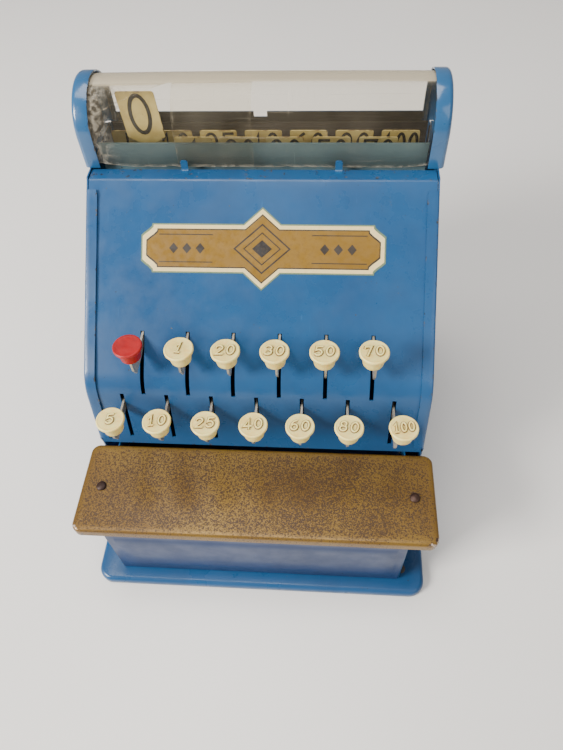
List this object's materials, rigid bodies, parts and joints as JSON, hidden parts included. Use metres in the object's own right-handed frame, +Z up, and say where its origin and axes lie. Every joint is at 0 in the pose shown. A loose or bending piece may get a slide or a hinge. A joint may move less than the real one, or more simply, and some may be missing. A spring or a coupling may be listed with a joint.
{
  "type": "toy cash register",
  "caption": "Pressed tinplate toy cash register with round press keys that raise number flags behind a bowed window, over a sliding drawer.",
  "frame": {"origin": "middle of the plinth's outline, on the surface the toy stands on", "axes": "+X to the right of someone facing the keys, front towards -Y, +Z up"},
  "size_m": [0.18, 0.198, 0.1992],
  "materials": {
    "blue_paint": "gloss enamel on tinplate, lightly worn",
    "drawer_paint": "satin enamel, faintly violet",
    "dull_blue": "thin grey-blue enamel",
    "gold_paint": "mottled gold and brown hammer finish",
    "cream_plastic": "moulded, yellowed with age",
    "red_plastic": "moulded, gloss",
    "zinc": "dull zinc plate",
    "brown_rivet": "dark bronzed",
    "flag_face": "matt cream with dark figures",
    "celluloid": "clear sheet, yellowed and scratched"
  },
  "bodies": {
    "body": {"base_plate": "blue_paint", "drawer_channel": "dull_blue", "shelf": "gold_paint", "shelf_rivet_left": "brown_rivet", "shelf_rivet_right": "brown_rivet", "front_panel": "blue_paint", "side_panel_left": "blue_paint", "side_panel_right": "blue_paint", "rear_panel": "blue_paint", "cheek_left": "blue_paint", "cheek_right": "blue_paint", "window": "celluloid", "front_guard": "dull_blue", "flag_guide": "zinc", "key_shaft": "zinc", "drawer_spring": "zinc", "bell": "zinc"},
    "key_5": {"key_lever_5": "zinc", "key_cap_5": "cream_plastic"},
    "flag_5": {"flag_5": "flag_face"},
    "key_10": {"key_lever_10": "zinc", "key_cap_10": "cream_plastic"},
    "flag_10": {"flag_10": "flag_face"},
    "key_25": {"key_lever_25": "zinc", "key_cap_25": "cream_plastic"},
    "flag_25": {"flag_25": "flag_face"},
    "key_40": {"key_lever_40": "zinc", "key_cap_40": "cream_plastic"},
    "flag_40": {"flag_40": "flag_face"},
    "key_60": {"key_lever_60": "zinc", "key_cap_60": "cream_plastic"},
    "flag_60": {"flag_60": "flag_face"},
    "key_80": {"key_lever_80": "zinc", "key_cap_80": "cream_plastic"},
    "flag_80": {"flag_80": "flag_face"},
    "key_100": {"key_lever_100": "zinc", "key_cap_100": "cream_plastic"},
    "flag_100": {"flag_100": "flag_face"},
    "key_0": {"key_lever_0": "zinc", "key_cap_0": "red_plastic"},
    "flag_0": {"flag_0": "flag_face"},
    "key_1": {"key_lever_1": "zinc", "key_cap_1": "cream_plastic"},
    "flag_1": {"flag_1": "flag_face"},
    "key_20": {"key_lever_20": "zinc", "key_cap_20": "cream_plastic"},
    "flag_20": {"flag_20": "flag_face"},
    "key_30": {"key_lever_30": "zinc", "key_cap_30": "cream_plastic"},
    "flag_30": {"flag_30": "flag_face"},
    "key_50": {"key_lever_50": "zinc", "key_cap_50": "cream_plastic"},
    "flag_50": {"flag_50": "flag_face"},
    "key_70": {"key_lever_70": "zinc", "key_cap_70": "cream_plastic"},
    "flag_70": {"flag_70": "flag_face"},
    "latch_bar": {"latch_bar": "zinc"},
    "drawer": {"drawer": "drawer_paint"},
    "drawer_catch": {"drawer_catch": "zinc"},
    "bell_hammer": {"bell_hammer": "zinc"}
  },
  "joints": [
    {"name": "key_5_press", "type": "hinge", "parent": "body", "child": "key_5", "pos_m": [-0.0672, 0.004, 0.099], "axis": [1, 0, 0], "range_deg": [0, 17.83], "stiffness_Nm_per_rad": 0.05, "springref_deg": -20.05},
    {"name": "flag_5_lift", "type": "slide", "parent": "body", "child": "flag_5", "axis": [0, 0, 1], "range_m": [0, 0.02058]},
    {"name": "key_10_press", "type": "hinge", "parent": "body", "child": "key_10", "pos_m": [-0.0448, 0.004, 0.099], "axis": [1, 0, 0], "range_deg": [0, 17.83], "stiffness_Nm_per_rad": 0.05, "springref_deg": -20.05},
    {"name": "flag_10_lift", "type": "slide", "parent": "body", "child": "flag_10", "axis": [0, 0, 1], "range_m": [0, 0.02058]},
    {"name": "key_25_press", "type": "hinge", "parent": "body", "child": "key_25", "pos_m": [-0.0224, 0.004, 0.099], "axis": [1, 0, 0], "range_deg": [0, 17.83], "stiffness_Nm_per_rad": 0.05, "springref_deg": -20.05},
    {"name": "flag_25_lift", "type": "slide", "parent": "body", "child": "flag_25", "axis": [0, 0, 1], "range_m": [0, 0.02058]},
    {"name": "key_40_press", "type": "hinge", "parent": "body", "child": "key_40", "pos_m": [0, 0.004, 0.099], "axis": [1, 0, 0], "range_deg": [0, 17.83], "stiffness_Nm_per_rad": 0.05, "springref_deg": -20.05},
    {"name": "flag_40_lift", "type": "slide", "parent": "body", "child": "flag_40", "axis": [0, 0, 1], "range_m": [0, 0.02058]},
    {"name": "key_60_press", "type": "hinge", "parent": "body", "child": "key_60", "pos_m": [0.0224, 0.004, 0.099], "axis": [1, 0, 0], "range_deg": [0, 17.83], "stiffness_Nm_per_rad": 0.05, "springref_deg": -20.05},
    {"name": "flag_60_lift", "type": "slide", "parent": "body", "child": "flag_60", "axis": [0, 0, 1], "range_m": [0, 0.02058]},
    {"name": "key_80_press", "type": "hinge", "parent": "body", "child": "key_80", "pos_m": [0.0448, 0.004, 0.099], "axis": [1, 0, 0], "range_deg": [0, 17.83], "stiffness_Nm_per_rad": 0.05, "springref_deg": -20.05},
    {"name": "flag_80_lift", "type": "slide", "parent": "body", "child": "flag_80", "axis": [0, 0, 1], "range_m": [0, 0.02058]},
    {"name": "key_100_press", "type": "hinge", "parent": "body", "child": "key_100", "pos_m": [0.0672, 0.004, 0.099], "axis": [1, 0, 0], "range_deg": [0, 17.83], "stiffness_Nm_per_rad": 0.05, "springref_deg": -20.05},
    {"name": "flag_100_lift", "type": "slide", "parent": "body", "child": "flag_100", "axis": [0, 0, 1], "range_m": [0, 0.02058]},
    {"name": "key_0_press", "type": "hinge", "parent": "body", "child": "key_0", "pos_m": [-0.056, 0.004, 0.099], "axis": [1, 0, 0], "range_deg": [0, 20.31], "stiffness_Nm_per_rad": 0.05, "springref_deg": -20.05},
    {"name": "flag_0_lift", "type": "slide", "parent": "body", "child": "flag_0", "axis": [0, 0, 1], "range_m": [-0.02048, 0]},
    {"name": "key_1_press", "type": "hinge", "parent": "body", "child": "key_1", "pos_m": [-0.0336, 0.004, 0.099], "axis": [1, 0, 0], "range_deg": [0, 20.31], "stiffness_Nm_per_rad": 0.05, "springref_deg": -20.05},
    {"name": "flag_1_lift", "type": "slide", "parent": "body", "child": "flag_1", "axis": [0, 0, 1], "range_m": [0, 0.02058]},
    {"name": "key_20_press", "type": "hinge", "parent": "body", "child": "key_20", "pos_m": [-0.0112, 0.004, 0.099], "axis": [1, 0, 0], "range_deg": [0, 20.31], "stiffness_Nm_per_rad": 0.05, "springref_deg": -20.05},
    {"name": "flag_20_lift", "type": "slide", "parent": "body", "child": "flag_20", "axis": [0, 0, 1], "range_m": [0, 0.02058]},
    {"name": "key_30_press", "type": "hinge", "parent": "body", "child": "key_30", "pos_m": [0.0112, 0.004, 0.099], "axis": [1, 0, 0], "range_deg": [0, 20.31], "stiffness_Nm_per_rad": 0.05, "springref_deg": -20.05},
    {"name": "flag_30_lift", "type": "slide", "parent": "body", "child": "flag_30", "axis": [0, 0, 1], "range_m": [0, 0.02058]},
    {"name": "key_50_press", "type": "hinge", "parent": "body", "child": "key_50", "pos_m": [0.0336, 0.004, 0.099], "axis": [1, 0, 0], "range_deg": [0, 20.31], "stiffness_Nm_per_rad": 0.05, "springref_deg": -20.05},
    {"name": "flag_50_lift", "type": "slide", "parent": "body", "child": "flag_50", "axis": [0, 0, 1], "range_m": [0, 0.02058]},
    {"name": "key_70_press", "type": "hinge", "parent": "body", "child": "key_70", "pos_m": [0.056, 0.004, 0.099], "axis": [1, 0, 0], "range_deg": [0, 20.31], "stiffness_Nm_per_rad": 0.05, "springref_deg": -20.05},
    {"name": "flag_70_lift", "type": "slide", "parent": "body", "child": "flag_70", "axis": [0, 0, 1], "range_m": [0, 0.02058]},
    {"name": "latch_swing", "type": "hinge", "parent": "body", "child": "latch_bar", "pos_m": [0, 0.0826, 0.134], "axis": [1, 0, 0], "range_deg": [0, 8], "stiffness_Nm_per_rad": 0.05, "springref_deg": -5.73},
    {"name": "drawer_slide", "type": "slide", "parent": "body", "child": "drawer", "axis": [0, -1, 0], "range_m": [0, 0.085]},
    {"name": "catch_swing", "type": "hinge", "parent": "body", "child": "drawer_catch", "pos_m": [0, 0.036, 0.058], "axis": [1, 0, 0], "range_deg": [0, 6], "stiffness_Nm_per_rad": 0.01, "springref_deg": -2.86},
    {"name": "hammer_swing", "type": "hinge", "parent": "body", "child": "bell_hammer", "pos_m": [0.0242, 0.081, 0.0244], "axis": [0, 0, -1], "range_deg": [0, 15], "stiffness_Nm_per_rad": 0.005, "springref_deg": -5.73}
  ],
  "couplings": [
    {"joint": "flag_5_lift", "follows": "key_5_press", "m_per_rad": 0.065834},
    {"joint": "flag_10_lift", "follows": "key_10_press", "m_per_rad": 0.065834},
    {"joint": "flag_25_lift", "follows": "key_25_press", "m_per_rad": 0.065834},
    {"joint": "flag_40_lift", "follows": "key_40_press", "m_per_rad": 0.065834},
    {"joint": "flag_60_lift", "follows": "key_60_press", "m_per_rad": 0.065834},
    {"joint": "flag_80_lift", "follows": "key_80_press", "m_per_rad": 0.065834},
    {"joint": "flag_100_lift", "follows": "key_100_press", "m_per_rad": 0.065834},
    {"joint": "flag_1_lift", "follows": "key_1_press", "m_per_rad": 0.057796},
    {"joint": "flag_20_lift", "follows": "key_20_press", "m_per_rad": 0.057796},
    {"joint": "flag_30_lift", "follows": "key_30_press", "m_per_rad": 0.057796},
    {"joint": "flag_50_lift", "follows": "key_50_press", "m_per_rad": 0.057796},
    {"joint": "flag_70_lift", "follows": "key_70_press", "m_per_rad": 0.057796}
  ]
}
